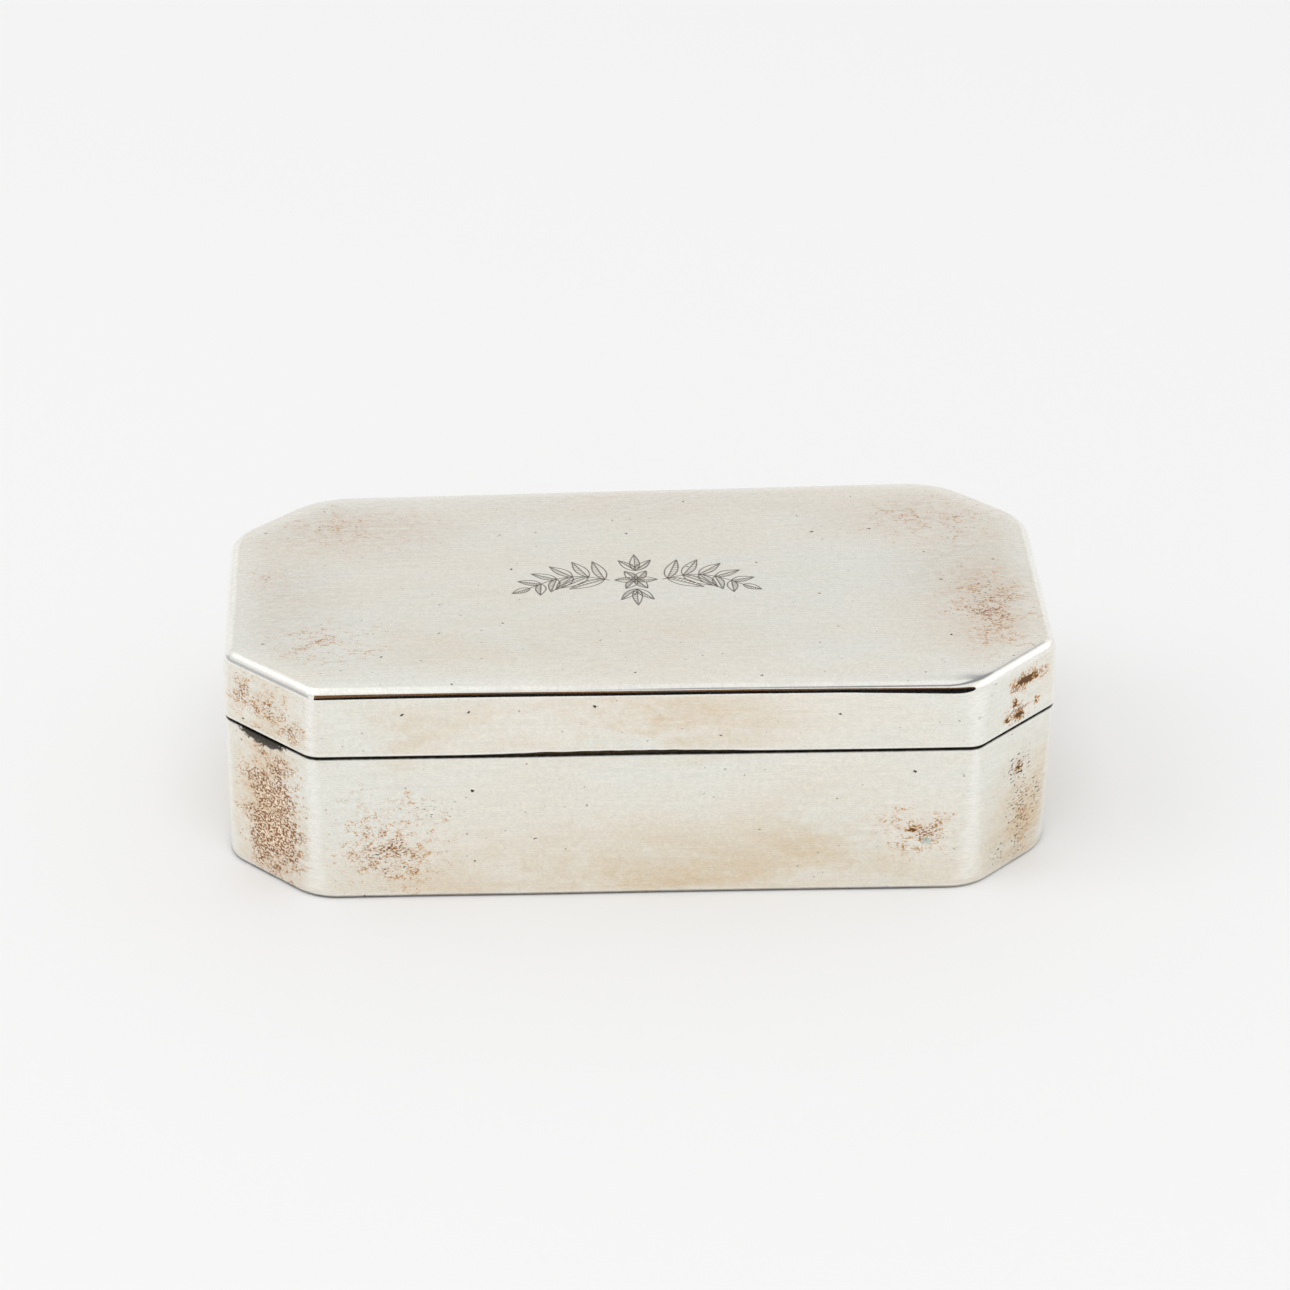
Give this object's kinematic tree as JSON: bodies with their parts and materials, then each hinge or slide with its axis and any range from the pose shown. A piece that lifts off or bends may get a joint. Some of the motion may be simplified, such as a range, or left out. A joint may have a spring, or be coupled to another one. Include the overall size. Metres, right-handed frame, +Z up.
{
  "type": "hinged box",
  "caption": "Small oblong silver box with canted corners, a lid that shuts over an inner bezel and a flush pinned hinge along the back.",
  "frame": {"origin": "middle of the underside, where the box stands", "axes": "+X along the length to the right, +Y to the back, where the hinge is, +Z up"},
  "size_m": [0.08, 0.0424, 0.0229],
  "materials": {
    "silver": "worn polished silver, warm, with tan tarnish, brown speckle and fine scratches",
    "gilt_silver": "worn gilt wash over silver",
    "steel": "drawn steel rod"
  },
  "bodies": {
    "base": {"base_plate": "silver", "base_wall": "silver", "base_bezel": "gilt_silver", "base_joint_bearer": "silver", "base_knuckle_1": "silver", "base_knuckle_2": "silver", "base_knuckle_3": "silver", "base_knuckle_4": "silver", "base_knuckle_5": "silver", "hinge_pin": "steel", "pin_plug_left": "silver", "pin_plug_right": "silver"},
    "lid": {"lid_plate": "silver", "lid_rim": "silver", "lid_joint_bearer": "silver", "lid_knuckle_1": "silver", "lid_knuckle_2": "silver", "lid_knuckle_3": "silver", "lid_knuckle_4": "silver"}
  },
  "joints": [
    {"name": "lid_hinge", "type": "hinge", "parent": "base", "child": "lid", "pos_m": [0, 0.01975, 0.01555], "axis": [-1, 0, 0], "range_deg": [0, 95]}
  ]
}
